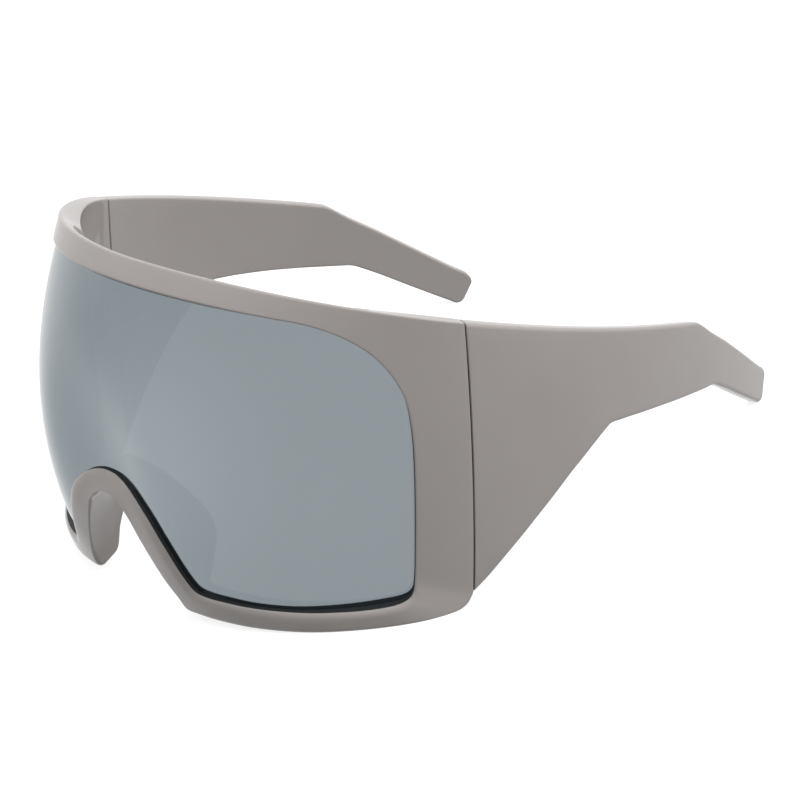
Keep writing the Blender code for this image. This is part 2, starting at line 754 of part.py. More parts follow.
def main():
    clear_scene()
    parts = collection("shield_sunglasses")
    cutters = collection("cutters")

    seat = hinge_matrix()
    right_seat = Matrix.Diagonal((-1, 1, 1)).to_4x4() @ seat

    # Front frame with both plinths and their pilots
    half = half_front(parts)
    bpy.context.view_layer.update()
    ring = baked(half, "ring", parts)
    dropped(half)
    recalculated(ring)
    pads = []
    drills = []
    for matrix in (seat, right_seat):
        block = plinth(-1, cutters)
        block.data.transform(matrix)
        recalculated(block)
        pads.append(block)
        for drill in pilots(-1, cutters):
            drill.data.transform(matrix)
            recalculated(drill)
            drills.append(drill)
    ring = combined(ring, pads, "UNION", "ring", parts)
    front = combined(ring, drills, "DIFFERENCE", "front_frame", parts)

    # Lens
    half = half_lens(parts)
    bpy.context.view_layer.update()
    lens = baked(half, "shield_lens", parts)
    dropped(half)
    recalculated(lens)

    # Left temple with its plinth and pilots
    body = temple_body(parts)
    block = plinth(1, cutters)
    block.data.transform(seat)
    body = combined(body, [block], "UNION", "temple_body", parts)
    drills = pilots(1, cutters)
    for drill in drills:
        drill.data.transform(seat)
    temple = combined(body, drills, "DIFFERENCE", "left_temple", parts)

    # The stance: pitch, flats and position over the table
    front_points = coordinates(front)
    temple_points = coordinates(temple)
    pitch = resting_pitch(front_points, temple_points)
    level = lowest(front_points, pitch) + LAND
    flattened(front, pitch, level)
    flattened(temple, pitch, level)
    every = np.vstack([front_points, temple_points])
    across = every[:, 1] * math.cos(pitch) + every[:, 2] * math.sin(pitch)
    stance = bpy.data.objects.new("stance", None)
    parts.objects.link(stance)
    stance.rotation_euler = (-pitch, 0, 0)
    stance.location = (0, -(across.min() + across.max()) / 2, -level)

    # Hinge hardware of the left side, in the frame of the glasses
    front_numbers = range(0, KNUCKLES, 2)
    temple_numbers = range(1, KNUCKLES, 2)
    left = {
        "temple": temple,
        "front_leaf": leaf("left_front_leaf", -1, front_numbers, parts),
        "temple_leaf": leaf("left_temple_leaf", 1, temple_numbers, parts),
        "hinge_screw": hinge_pin("left_hinge_screw", parts),
    }
    for side, owner in ((-1, "front"), (1, "temple")):
        for height, word in zip(screw_heights(), ("upper", "lower")):
            key = owner + "_leaf_screw_" + word
            left[key] = pan_screw("left_" + key, side, height, parts)
    for key, piece in left.items():
        if key != "temple":
            piece.data.transform(seat)
            recalculated(piece)

    # The right side is the left one mirrored
    sides = {"left": left}
    sides["right"] = {key: mirrored(piece, "right_" + key, parts) for key, piece in left.items()}
    axis_point = seat.translation.copy()
    for side, pieces in sides.items():
        point = axis_point.copy()
        if side == "right":
            point.x = -point.x
        pivot = bpy.data.objects.new(side + "_temple_pivot", None)
        parts.objects.link(pivot)
        pivot.parent = stance
        pivot.location = point
        for key, piece in pieces.items():
            if key.startswith("temple"):
                piece.data.transform(Matrix.Translation(-point))
                piece.parent = pivot
            else:
                centred_on(piece, point)
                piece.parent = stance
    front.parent = stance
    lens.parent = stance

    finish = {
        "front_frame": material("frame_gloss", FRAME_COLOUR, 0.18, 0.0),
        "shield_lens": material("mirror_lens", LENS_COLOUR, 0.08, 0.8),
    }
    for obj in list(parts.objects):
        if obj.type != "MESH":
            continue
        made = finish.get(obj.name)
        if made is None and obj.name.endswith("_temple"):
            made = material(obj.name + "_gloss", FRAME_COLOUR, 0.18, 0.0)
        if made is None:
            made = material(obj.name + "_metal", METAL_COLOUR, 0.3, 1.0)
        obj.data.materials.clear()
        obj.data.materials.append(made)
        shaded(obj)
    bpy.context.view_layer.update()


main()
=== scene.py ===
"""Looks of the shield sunglasses: smooth mouldings, mirror lens, hinge hardware, studio.

The pieces are drawn in the wearing position, as in the solid model: +Z up, the face
looks along -Y, +X is the wearer's left, the top line of the temples is Z = 0 and the
seams between front and temples start at Y = 0. stance() then tips them onto the table.
The left side is drawn, and the right side mirrors it.
"""

import json
import math

import bmesh
import bpy
from mathutils import Matrix, Vector


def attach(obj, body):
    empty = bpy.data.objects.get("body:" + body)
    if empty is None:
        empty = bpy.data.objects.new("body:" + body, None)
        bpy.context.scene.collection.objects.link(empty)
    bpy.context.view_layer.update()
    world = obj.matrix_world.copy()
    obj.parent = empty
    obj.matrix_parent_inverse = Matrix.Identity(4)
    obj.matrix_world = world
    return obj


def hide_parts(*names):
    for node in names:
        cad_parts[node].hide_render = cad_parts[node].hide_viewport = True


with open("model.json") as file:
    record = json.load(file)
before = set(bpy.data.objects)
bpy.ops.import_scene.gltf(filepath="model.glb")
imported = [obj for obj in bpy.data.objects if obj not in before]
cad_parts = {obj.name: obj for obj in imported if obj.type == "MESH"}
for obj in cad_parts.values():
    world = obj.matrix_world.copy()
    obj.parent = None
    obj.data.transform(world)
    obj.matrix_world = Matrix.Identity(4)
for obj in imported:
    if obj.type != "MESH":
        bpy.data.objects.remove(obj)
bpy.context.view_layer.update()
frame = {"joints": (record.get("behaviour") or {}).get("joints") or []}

MM = 0.001
TINY = 1e-6
EXACT = 1e-9

# Clearances
GAP = 0.3 * MM
SEAT_GAP = 0.02 * MM  # where a piece rests on another
PROBE = 0.05 * MM     # step for measuring a surface's slope

# Overall shape of the wrap
SEAM_HALF_WIDTH = 69.4 * MM
FRONT_REACH = 57.2 * MM
TOP_REACH = 41.0 * MM
FULLEST_DROP = 43.1 * MM
SIDE_BULGE = 0.89 * MM
SIDE_BULGE_DROP = 27.6 * MM
FRONT_HANDLE = 22.0 * MM
SIDE_HANDLE = 34.2 * MM
TILT_SHARE = 0.2535
SHIELD_HEIGHT = 78.1 * MM
SEAM_HEIGHT = 61.1 * MM
NOSE_DENT = 9.2 * MM
NOSE_DENT_WIDTH = 16.5 * MM
NOSE_DENT_TOP = 14.0 * MM
NOSE_DENT_FULL = 49.0 * MM

# Front frame
EDGE = 0.45 * MM
BROW_PROUD = 1.0 * MM
BROW_DEPTH = 5.2 * MM
BROW_SLOPE = 1.3 * MM
RIM_PROUD = 1.9 * MM
RIM_DEPTH = 3.9 * MM
RIM_ROUND = 2.3 * MM
SEAT_WALL = 0.90 * MM       # height of the near-black wall between rim and lens: partly a black seat, partly painted shade of the gap
SEAT_WALL_LOSS = 0.50 * MM  # that it loses at the top of the nose arch
WALL = 4.2 * MM
NOSE_LIP = 1.8 * MM
PAD_WALL = 1.8 * MM
PAD_DEPTH = 9.8 * MM
PAD_LEAN = 4.5 * MM

# Rounding of the front's edges
SEAM_ROUND = 0.35 * MM
BROW_ROUND = 0.45 * MM      # added to it along the brow
FOOT_ROUND = 1.45 * MM      # added to it along the bottom rims
ARCH_SHARPNESS = 0.92       # share of the foot's round that the nose arch lacks
ARCH_CRISPNESS = 0.1 * MM   # that the nose arch has less than the seam
BROW_FACE_ROUND = 0.2 * MM  # further round over the brow's front face
BROW_TOP_ROUND = 0.5 * MM   # and over its top
TOP_CURVE = 1.6 * MM
BROW_TOP_CURVE = 0.6 * MM
BACK_ROUND = 1.5 * MM
CUT_LIMIT = 0.48            # share of a side that a round may take at either end

# Lens and its groove
LENS_THICKNESS = 1.9 * MM
SIDE_SINK = 1.2 * MM
SINK_START_SHARE = 0.45
SINK_FULL_SHARE = 0.85
CROWN_LIFT = 0.8 * MM  # of the lens over the nose arch
CROWN_LIFT_SHARE = 0.16
CROWN_LIFT_TOP = 28.0 * MM
CROWN_LIFT_FULL = 49.0 * MM
GROOVE_DEPTH = 1.5 * MM
BACK_LIP = 1.2 * MM
GROOVE_BACK = LENS_THICKNESS + GAP

# Temples
TEMPLE_LENGTH = 112.4 * MM
TEMPLE_FLARE = 13.3 * MM
TEMPLE_BOW = 2.3 * MM
TEMPLE_TUCK = 16.1 * MM
TIP_DROP = 24.0 * MM
TIP_WALL = 3.2 * MM
TEMPLE_ROUND = 0.9 * MM
TEMPLE_INNER_ROUND = 0.5 * MM

# Hinges
HINGE_DROP = 27.6 * MM
KNUCKLES = 5
KNUCKLE_HEIGHT = 2.0 * MM
BARREL_RADIUS = 1.8 * MM
BORE_RADIUS = 0.95 * MM
PIN_RADIUS = 0.65 * MM
PIN_HEAD_RADIUS = 1.5 * MM
PIN_HEAD_HEIGHT = 0.7 * MM
LEAF_LENGTH = 7.2 * MM
LEAF_THICKNESS = 0.9 * MM
LEAF_CORNER = 1.2 * MM
PLINTH = 2.0 * MM
PLINTH_MARGIN = 0.8 * MM
PLINTH_EDGE = 0.35 * MM
SCREW_SPACING = 5.4 * MM
SCREW_HOLE_RADIUS = 0.9 * MM
SCREW_RADIUS = 0.6 * MM
SCREW_HEAD_RADIUS = 1.3 * MM
SCREW_HEAD_HEIGHT = 0.6 * MM
SCREW_BITE = 2.5 * MM
CHAMFER = 0.12 * MM
WEB_OVERLAP = 0.48 * MM     # of a barrel's web and the leaf
WEB_START = 0.72            # share of the barrel's radius
ROUND_SIDES = 48
CORNER_STEPS = 8
AXIS_INSET = WALL + GAP + BARREL_RADIUS
HINGE_HEIGHT = KNUCKLES * KNUCKLE_HEIGHT + (KNUCKLES - 1) * GAP
LEAF_START = BARREL_RADIUS + GAP
PLINTH_FACE = AXIS_INSET - WALL - PLINTH
LEAF_OUTER = PLINTH_FACE - GAP
LEAF_INNER = LEAF_OUTER - LEAF_THICKNESS
SCREW_BACK = LEAF_START + LEAF_LENGTH / 2 + SCREW_HEAD_RADIUS / 2

# Screw heads and their recesses; turns are in radians
HEAD_PROFILE = ((0.72, 1.0), (0.90, 0.86), (1.0, 0.5))  # shares of radius and height
CROSS_ARM = 0.62 * MM
CROSS_HALF_WIDTH = 0.14 * MM
CROSS_DEPTH = 0.34 * MM
SLOT_HALF_LENGTH = 0.92 * MM
SLOT_HALF_WIDTH = 0.17 * MM
SLOT_CORNER = 0.08 * MM
SLOT_DEPTH = 0.36 * MM
RECESS_TAPER = 0.85
UPPER_SCREW_TURN = 0.35
LOWER_SCREW_TURN = 1.0
HINGE_SCREW_TURN = 0.6

# The ring of the front, from the middle of the brow round to the nose bridge.
# Each row: outer edge (round the wrap, down the shield), lens opening (the same),
# then shares of brow depth, rim depth, saddle pad and bridge lip.
RING_SHARES = (
    (0.000, 0.000, 0.000, 0.072, 1.0, 0.0, 0.0, 0.0),
    (0.110, 0.000, 0.110, 0.073, 1.0, 0.0, 0.0, 0.0),
    (0.210, 0.000, 0.208, 0.074, 1.0, 0.0, 0.0, 0.0),
    (0.320, 0.000, 0.310, 0.074, 1.0, 0.0, 0.0, 0.0),
    (0.430, 0.000, 0.410, 0.073, 1.0, 0.0, 0.0, 0.0),
    (0.530, 0.000, 0.505, 0.071, 0.88, 0.0, 0.0, 0.0),
    (0.630, 0.000, 0.595, 0.070, 0.60, 0.0, 0.0, 0.0),
    (0.730, 0.000, 0.670, 0.082, 0.32, 0.0, 0.0, 0.0),
    (0.830, 0.000, 0.735, 0.107, 0.12, 0.0, 0.0, 0.0),
    (0.920, 0.000, 0.782, 0.140, 0.05, 0.0, 0.0, 0.0),
    (1.000, 0.000, 0.821, 0.187, 0.0, 0.0, 0.0, 0.0),
    (1.000, 0.120, 0.849, 0.247, 0.0, 0.0, 0.0, 0.0),
    (1.000, 0.260, 0.8645, 0.340, 0.0, 0.0, 0.0, 0.0),
    (1.000, 0.400, 0.870, 0.450, 0.0, 0.0, 0.0, 0.0),
    (1.000, 0.540, 0.870, 0.570, 0.0, 0.0, 0.0, 0.0),
    (1.000, 0.670, 0.867, 0.680, 0.0, 0.0, 0.0, 0.0),
    (1.000, 0.782, 0.8625, 0.757, 0.0, 0.0, 0.0, 0.0),
    (0.979, 0.822, 0.8545, 0.799, 0.0, 0.35, 0.0, 0.0),
    (0.932, 0.854, 0.832, 0.8245, 0.0, 0.75, 0.0, 0.0),
    (0.860, 0.881, 0.788, 0.846, 0.0, 1.0, 0.0, 0.0),
    (0.751, 0.918, 0.705, 0.874, 0.0, 1.0, 0.0, 0.0),
    (0.605, 0.960, 0.590, 0.903, 0.0, 1.0, 0.0, 0.0),
    (0.470, 0.984, 0.475, 0.919, 0.0, 1.0, 0.0, 0.0),
    (0.365, 0.992, 0.390, 0.923, 0.0, 1.0, 0.0, 0.0),
    (0.284, 0.994, 0.340, 0.9235, 0.0, 1.0, 0.0, 0.0),
    (0.232, 0.992, 0.306, 0.916, 0.0, 1.0, 0.10, 0.1),
    (0.225, 0.957, 0.287, 0.888, 0.0, 1.0, 0.46, 0.2),
    (0.204, 0.909, 0.268, 0.845, 0.0, 1.0, 0.88, 0.3),
    (0.170, 0.840, 0.243, 0.790, 0.0, 1.0, 0.97, 0.4),
    (0.133, 0.774, 0.198, 0.721, 0.0, 1.0, 0.82, 0.6),
    (0.101, 0.728, 0.130, 0.667, 0.0, 1.0, 0.62, 0.8),
    (0.056, 0.698, 0.065, 0.641, 0.0, 1.0, 0.48, 0.95),
    (0.000, 0.688, 0.000, 0.634, 0.0, 1.0, 0.42, 1.0),
)
CORNER_ROWS = (10, 16)  # the corners at the seam
RING_STEPS = 6

# The temple from the seam to the tip. Each row: top edge (behind the seam as a
# share of the length, drop as a share of the tip's drop), bottom edge (behind
# the seam, drop as a share of the seam's height, drop as a share of the tip's).
TEMPLE_SHARES = (
    (0.000, 0.000, 0.000, 1.000, 0.000),
    (0.045, 0.000, 0.031, 0.935, 0.000),
    (0.098, 0.000, 0.066, 0.855, 0.000),
    (0.165, 0.000, 0.139, 0.698, 0.000),
    (0.236, 0.000, 0.219, 0.537, 0.000),
    (0.290, 0.000, 0.275, 0.440, 0.000),
    (0.322, 0.000, 0.306, 0.389, 0.000),
    (0.350, 0.000, 0.331, 0.352, 0.000),
    (0.410, 0.000, 0.395, 0.330, 0.000),
    (0.510, 0.000, 0.492, 0.302, 0.000),
    (0.590, 0.000, 0.580, 0.281, 0.000),
    (0.650, 0.004, 0.654, 0.265, 0.000),
    (0.708, 0.121, 0.710, 0.252, 0.000),
    (0.770, 0.224, 0.772, 0.000, 0.714),
    (0.838, 0.353, 0.843, 0.000, 0.816),
    (0.912, 0.495, 0.905, 0.000, 0.902),
    (0.960, 0.584, 0.941, 0.000, 0.948),
    (0.976, 0.604, 0.952, 0.000, 0.967),
    (0.985, 0.634, 0.961, 0.000, 0.955),
    (0.990, 0.670, 0.968, 0.000, 0.926),
    (0.991, 0.715, 0.973, 0.000, 0.898),
)
TIP_ROW = 16        # from here on the outline is round
CORNER_BLEND = 0.2  # rows over which a corner before it is softened
TIP_BLEND = 0.5
BLEND_SAMPLES = 8
TEMPLE_STEPS = 6
SEAM_END_ROWS = (0.0, 0.008, 0.020, 0.040, 0.070)  # for the round at the seam

LENS_COLUMNS = 72
LENS_ROWS = 36
LENS_SPREAD = 1.45    # above 1 the columns stand closer at the lens's ends
LENS_END_SHARE = 0.5  # how far the last column closes up toward the one before

SHARP_ANGLE = math.radians(38)


# The wrapped outer surface

SEAM_ANGLE = math.atan(TEMPLE_FLARE / (TEMPLE_LENGTH / 3))


def smooth_step(value):
    value = min(max(value, 0.0), 1.0)
    return value * value * (3 - 2 * value)


def half_width(z):
    off = (z + SIDE_BULGE_DROP) / SIDE_BULGE_DROP
    return SEAM_HALF_WIDTH + SIDE_BULGE * (1 - off * off)


def reach(z):
    off = (z + FULLEST_DROP) / FULLEST_DROP
    return FRONT_REACH - (FRONT_REACH - TOP_REACH) * off * off


def front_surface(share, z):
    """Point of the front's outer surface, share 0 at the middle and 1 at the seam."""
    side = math.copysign(1.0, share)
    share = abs(share)
    width = half_width(z)
    depth = reach(z)
    handle = SIDE_HANDLE * depth / FRONT_REACH
    rest = 1 - share
    weights = (rest ** 3, 3 * rest * rest * share, 3 * rest * share * share, share ** 3)
    x = weights[1] * FRONT_HANDLE + weights[2] * (width - handle * math.sin(SEAM_ANGLE))
    x += weights[3] * width
    y = -(weights[0] + weights[1]) * depth - weights[2] * handle * math.cos(SEAM_ANGLE)
    fade = smooth_step((-z - NOSE_DENT_TOP) / (NOSE_DENT_FULL - NOSE_DENT_TOP))
    dent = NOSE_DENT * fade * math.exp(-((x / NOSE_DENT_WIDTH) ** 2))
    return Vector((side * x, y - TILT_SHARE * z + dent, z))


def temple_surface(back, z):
    """Point of the left temple's outer surface, back measured from the seam line."""
    share = back / TEMPLE_LENGTH
    rest = 1 - share
    out = 3 * rest * rest * share * TEMPLE_FLARE + 3 * rest * share * share * TEMPLE_BOW
    out -= share ** 3 * TEMPLE_TUCK
    return Vector((half_width(z) + out, back - TILT_SHARE * z, z))


def outward(surface, u, step, z):
    along = surface(u + step, z) - surface(u - step, z)
    up = surface(u, z + PROBE) - surface(u, z - PROBE)
    return along.cross(up).normalized()


def front_point(share, z, height):
    normal = outward(front_surface, share, PROBE / SEAM_HALF_WIDTH, z)
    return front_surface(share, z) + normal * height


def temple_point(back, z, height):
    return temple_surface(back, z) + outward(temple_surface, back, PROBE, z) * height


def hinge_matrix():
    """The left hinge: X outward, Y back along the temple, Z up its axis."""
    z = -HINGE_DROP
    out = outward(temple_surface, 0, PROBE, z)
    up = (temple_surface(0, z + PROBE) - temple_surface(0, z - PROBE)).normalized()
    back = up.cross(out).normalized()
    out = back.cross(up).normalized()
    centre = temple_surface(0, z) - out * AXIS_INSET
    return Matrix.Translation(centre) @ Matrix((out, back, up)).transposed().to_4x4()


def stance():
    """Tips the wearing position onto the table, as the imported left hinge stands."""
    packed = next(j for j in frame["joints"] if j["name"] == "left_temple_fold")
    seat = hinge_matrix()
    drawn = seat.to_3x3() @ Vector((0, 0, 1))
    stood = Vector(packed["axis"])
    pitch = math.atan2(stood.y, stood.z) - math.atan2(drawn.y, drawn.z)
    turn = Matrix.Rotation(-pitch, 4, "X")
    shift = Vector(packed["pos_m"]) - turn @ seat.translation
    shift.x = 0
    return Matrix.Translation(shift) @ turn


STANCE = stance()


# Smooth columns through the listed rows

def between(values, position):
    """Catmull-Rom through the values, which go one further past both ends."""
    low = min(int(position), len(values) - 4)
    part = position - low
    a, b, c, d = values[low:low + 4]
    lead = -a + 3 * b - 3 * c + d
    bend = 2 * a - 5 * b + 4 * c - d
    return 0.5 * (2 * b + (c - a) * part + bend * part ** 2 + lead * part ** 3)


def column(rows, index, places, breaks=(), odd=False):
    """One column of a table at the places asked; breaks are rows where it turns sharply,
    and past the middle the column goes on as its own mirror image, odd or even."""
    values = [row[index] for row in rows]
    edges = [0] + list(breaks) + [len(values) - 1]
    sign = -1 if odd else 1
    found = []
    for place in places:
        number = sum(1 for edge in edges[1:-1] if place >= edge)
        first = edges[number]
        last = edges[number + 1]
        part = values[first:last + 1]
        before = sign * part[1] if first == 0 else 2 * part[0] - part[1]
        ended = last == len(values) - 1
        after = sign * part[-2] if ended else 2 * part[-1] - part[-2]
        found.append(between([before] + part + [after], place - first))
    return found


def straight_column(rows, index, places):
    """Like column, but with straight runs and crisp corners up to the tip."""
    last = len(rows) - 1
    found = []
    for place in places:
        blend = TIP_BLEND if place > TIP_ROW else CORNER_BLEND
        blend = min(blend, place, last - place)
        total = 0.0
        for k in range(BLEND_SAMPLES + 1):
            at = place + blend * (2 * k / BLEND_SAMPLES - 1)
            low = min(int(at), last - 1)
            part = at - low
            total += rows[low][index] * (1 - part) + rows[low + 1][index] * part
        found.append(total / (BLEND_SAMPLES + 1))
    return found


def even_places(rows, steps):
    return [k / steps for k in range((len(rows) - 1) * steps + 1)]


# Sections with softened corners

def softened(corners):
    """Points round a section. A corner: across, height, cut before, cut after, arc
    steps, then the shares at which the straight run after it is divided."""
    points = []
    for number, corner in enumerate(corners):
        here = Vector(corner[:2])
        before = Vector(corners[number - 1][:2]) - here
        following = corners[(number + 1) % len(corners)]
        after = Vector(following[:2]) - here
        steps = corner[4]
        start = here + before * min(corner[2] / max(before.length, TINY), CUT_LIMIT)
        end = here + after * min(corner[3] / max(after.length, TINY), CUT_LIMIT)
        if steps == 0:
            start = here
            end = here
            points.append(here)
        for k in range(steps + 1 if steps else 0):
            angle = math.pi / 2 * k / steps
            points.append(here + (start - here) * (1 - math.sin(angle))
                          + (end - here) * (1 - math.cos(angle)))
        finish = Vector(following[:2])
        if following[4]:
            back = -after
            finish = finish + back * min(following[2] / max(back.length, TINY), CUT_LIMIT)
        for share in corner[5]:
            points.append(end + (finish - end) * share)
    return points


def laid_grid(points):
    """A grid whose rows and columns are laid on the given points; rows are closed."""
    bm = bmesh.new()
    rows = len(points)
    columns = len(points[0])
    bmesh.ops.create_grid(bm, x_segments=rows - 1, y_segments=columns, size=0.5)
    mark = bm.verts.layers.int.new("column")
    for vertex in bm.verts:
        row = round((vertex.co.x + 0.5) * (rows - 1))
        place = round((vertex.co.y + 0.5) * columns)
        vertex[mark] = place
        vertex.co = points[row][place % columns]
    return bm


def finished(bm, name, materials, body, nodes):
    """Turns a bmesh in the wearing position into a piece that rides on its body."""
    bmesh.ops.recalc_face_normals(bm, faces=bm.faces)
    bm.transform(STANCE)
    mesh = bpy.data.meshes.new(name)
    bm.to_mesh(mesh)
    bm.free()
    for material in materials:
        mesh.materials.append(material)
    mesh.shade_smooth()
    mesh.set_sharp_from_angle(angle=SHARP_ANGLE)
    piece = bpy.data.objects.new(name, mesh)
    bpy.context.scene.collection.objects.link(piece)
    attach(piece, body)
    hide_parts(*nodes)
    return piece


def stood_on_table(bm):
    """Cuts a piece off at the table, which leaves the flats that it stands on."""
    bm.transform(STANCE)
    everything = bm.verts[:] + bm.edges[:] + bm.faces[:]
    cut = bmesh.ops.bisect_plane(bm, geom=everything, plane_co=(0, 0, 0),
                                 plane_no=(0, 0, -1), clear_outer=True, dist=EXACT)
    edges = [e for e in cut["geom_cut"] if isinstance(e, bmesh.types.BMEdge)]
    bmesh.ops.holes_fill(bm, edges=edges)
    bm.transform(STANCE.inverted())


def block(bm, low, high, matrix=Matrix()):
    """A box between two corners; returns its edges."""
    low = Vector(low)
    high = Vector(high)
    place = Matrix.Translation((low + high) / 2)
    size = Matrix.Diagonal(high - low).to_4x4()
    made = bmesh.ops.create_cube(bm, size=1, matrix=matrix @ place @ size)
    return list({edge for vertex in made["verts"] for edge in vertex.link_edges})


def plinth(bm, side):
    """The moulded seat under a hinge leaf; side -1 is the front's, +1 the temple's."""
    ends = sorted((side * (LEAF_START + GAP),
                   side * (LEAF_START + LEAF_LENGTH + PLINTH_MARGIN)))
    half = HINGE_HEIGHT / 2 + PLINTH_MARGIN
    edges = block(bm, (LEAF_OUTER + SEAT_GAP, ends[0], -half),
                  (PLINTH_FACE + PLINTH + WALL / 2, ends[1], half), hinge_matrix())
    bmesh.ops.bevel(bm, geom=edges, offset=PLINTH_EDGE, segments=3, profile=0.5,
                    affect="EDGES")


# Front frame

FACE_RUN = (0.05, 0.17, 0.33, 0.5, 0.67, 0.83, 0.95)
THIRDS = (0.33, 0.67)


def fitted_drop(z_share):
    """Drop for a share of the outline, so that the seam's corner sits at its height."""
    drawn = RING_SHARES[CORNER_ROWS[1]][1]
    if z_share <= drawn:
        return -z_share / drawn * SEAM_HEIGHT
    past = (z_share - drawn) / (1 - drawn)
    return -SEAM_HEIGHT - past * (SHIELD_HEIGHT - SEAM_HEIGHT)


def lens_height(share, z):
    """Height of the lens's front face: sunk at the side panels, raised over the arch."""
    past = (abs(share) - SINK_START_SHARE) / (SINK_FULL_SHARE - SINK_START_SHARE)
    low = smooth_step((-z - CROWN_LIFT_TOP) / (CROWN_LIFT_FULL - CROWN_LIFT_TOP))
    lift = CROWN_LIFT * low * math.exp(-((share / CROWN_LIFT_SHARE) ** 2))
    return lift - SIDE_SINK * smooth_step(past)


def ring_rows():
    places = even_places(RING_SHARES, RING_STEPS)
    seam = 1 - (GAP / 2) / (3 * SIDE_HANDLE)
    outer_u = column(RING_SHARES, 0, places, CORNER_ROWS, odd=True)
    outer_u = [min(u, seam) for u in outer_u]
    outer_z = column(RING_SHARES, 1, places, CORNER_ROWS)
    open_u = column(RING_SHARES, 2, places, odd=True)
    rest = [column(RING_SHARES, k, places) for k in range(3, 8)]
    return list(zip(outer_u, outer_z, open_u, *rest))


def ring_ends(row):
    start = Vector((row[0], fitted_drop(row[1])))
    end = Vector((row[2], fitted_drop(row[3])))
    return start, end, (front_surface(*end) - front_surface(*start)).length


def ring_section(row):
    """Points round the front's section, from its outer edge over the face, down to the
    lens, round the groove, and back along the inner wall and the saddle pad."""
    brow, rim, pad, lip = row[4:]
    pad = max(pad, 0.0)
    start, end, width = ring_ends(row)
    proud = brow * BROW_PROUD + rim * RIM_PROUD
    depth = WALL + brow * (BROW_DEPTH - WALL) + rim * (RIM_DEPTH - WALL)
    top = proud + max(lip, 0.0) * NOSE_LIP
    slope = brow * BROW_SLOPE
    lean = slope + pad * PAD_LEAN
    back = depth + pad * PAD_DEPTH
    shoulder = EDGE + rim * (RIM_ROUND - EDGE)
    seat_wall = SEAT_WALL - lip * abs(lip) * SEAT_WALL_LOSS
    sunk = lens_height(*end)
    fall = EDGE + rim * (RIM_PROUD - max(sunk, 0.0) - seat_wall - EDGE)
    inner = width - GROOVE_DEPTH
    root = PAD_WALL + EDGE + slope
    foot = rim * (1 - ARCH_SHARPNESS * min(max(lip, pad), 1.0))
    outer_round = SEAM_ROUND + brow * BROW_ROUND + foot * FOOT_ROUND
    outer_round -= (rim - foot) * ARCH_CRISPNESS
    face_round = outer_round + brow * BROW_FACE_ROUND
    top_round = outer_round + brow * BROW_TOP_ROUND
    top_curve = TOP_CURVE + brow * (BROW_TOP_CURVE - TOP_CURVE)
    deeper = lens_height(*(start + (end - start) * (inner / width)))

    corners = (
        (0, top, top_round, face_round, 6, FACE_RUN),
        (width, proud, shoulder, fall, 7, ()),
        (width, sunk + SEAT_GAP, 0, 0, 0, ()),
        (inner, deeper + SEAT_GAP, 0, 0, 0, ()),
        (inner, deeper - GROOVE_BACK, 0, 0, 0, ()),
        (width, sunk - GROOVE_BACK, 0, 0, 0, ()),
        (width, sunk - GROOVE_BACK - BACK_LIP, EDGE, EDGE, 3, THIRDS),
        (root + (width - root) * 2 / 3, -depth, BACK_ROUND, BACK_ROUND, 3, THIRDS),
        (root, -depth, TOP_CURVE, TOP_CURVE, 4, (0.5,)),
        (PAD_WALL + lean, -back, EDGE, EDGE, 3, ()),
        (lean, -back, outer_round, outer_round, 5, (0.1, 0.5)),
        (lean / 3, (top - back) / 2, top_curve, top_curve, 4, (0.5, 0.9)),
    )
    laid = []
    for across, height in softened(corners):
        at = start + (end - start) * (across / width)
        laid.append(front_point(at.x, at.y, height))
    return laid


SHADED_SEAT_COLUMNS = range(21, 26)  # points of a section that line the lens's seat, which take the near-black of painted gap shade


def front_frame(materials):
    points = [ring_section(row) for row in ring_rows()]
    for row in (points[0], points[-1]):
        for point in row:
            point.x = 0
    bm = laid_grid(points)
    mark = bm.verts.layers.int["column"]
    for face in bm.faces:
        # the seat's faces get the near-black material: partly a black seat, partly painted
        # shade of the gap between rim and lens
        face.material_index = int(min(v[mark] for v in face.verts) in SHADED_SEAT_COLUMNS)
    bmesh.ops.remove_doubles(bm, verts=bm.verts, dist=TINY)
    plinth(bm, -1)
    bmesh.ops.mirror(bm, geom=bm.verts[:] + bm.edges[:] + bm.faces[:], axis="X",
                     merge_dist=TINY)
    stood_on_table(bm)
    return finished(bm, "front_moulding", materials, "front",
                    ["front_frame"])


# Lens

def crossing(outline, share):
    """Drop at which an outline, sorted by share, passes a share."""
    for (u, z), (next_u, next_z) in zip(outline[:-1], outline[1:]):
        if next_u >= share:
            return z + (next_z - z) * (share - u) / max(next_u - u, TINY)
    return outline[-1][1]


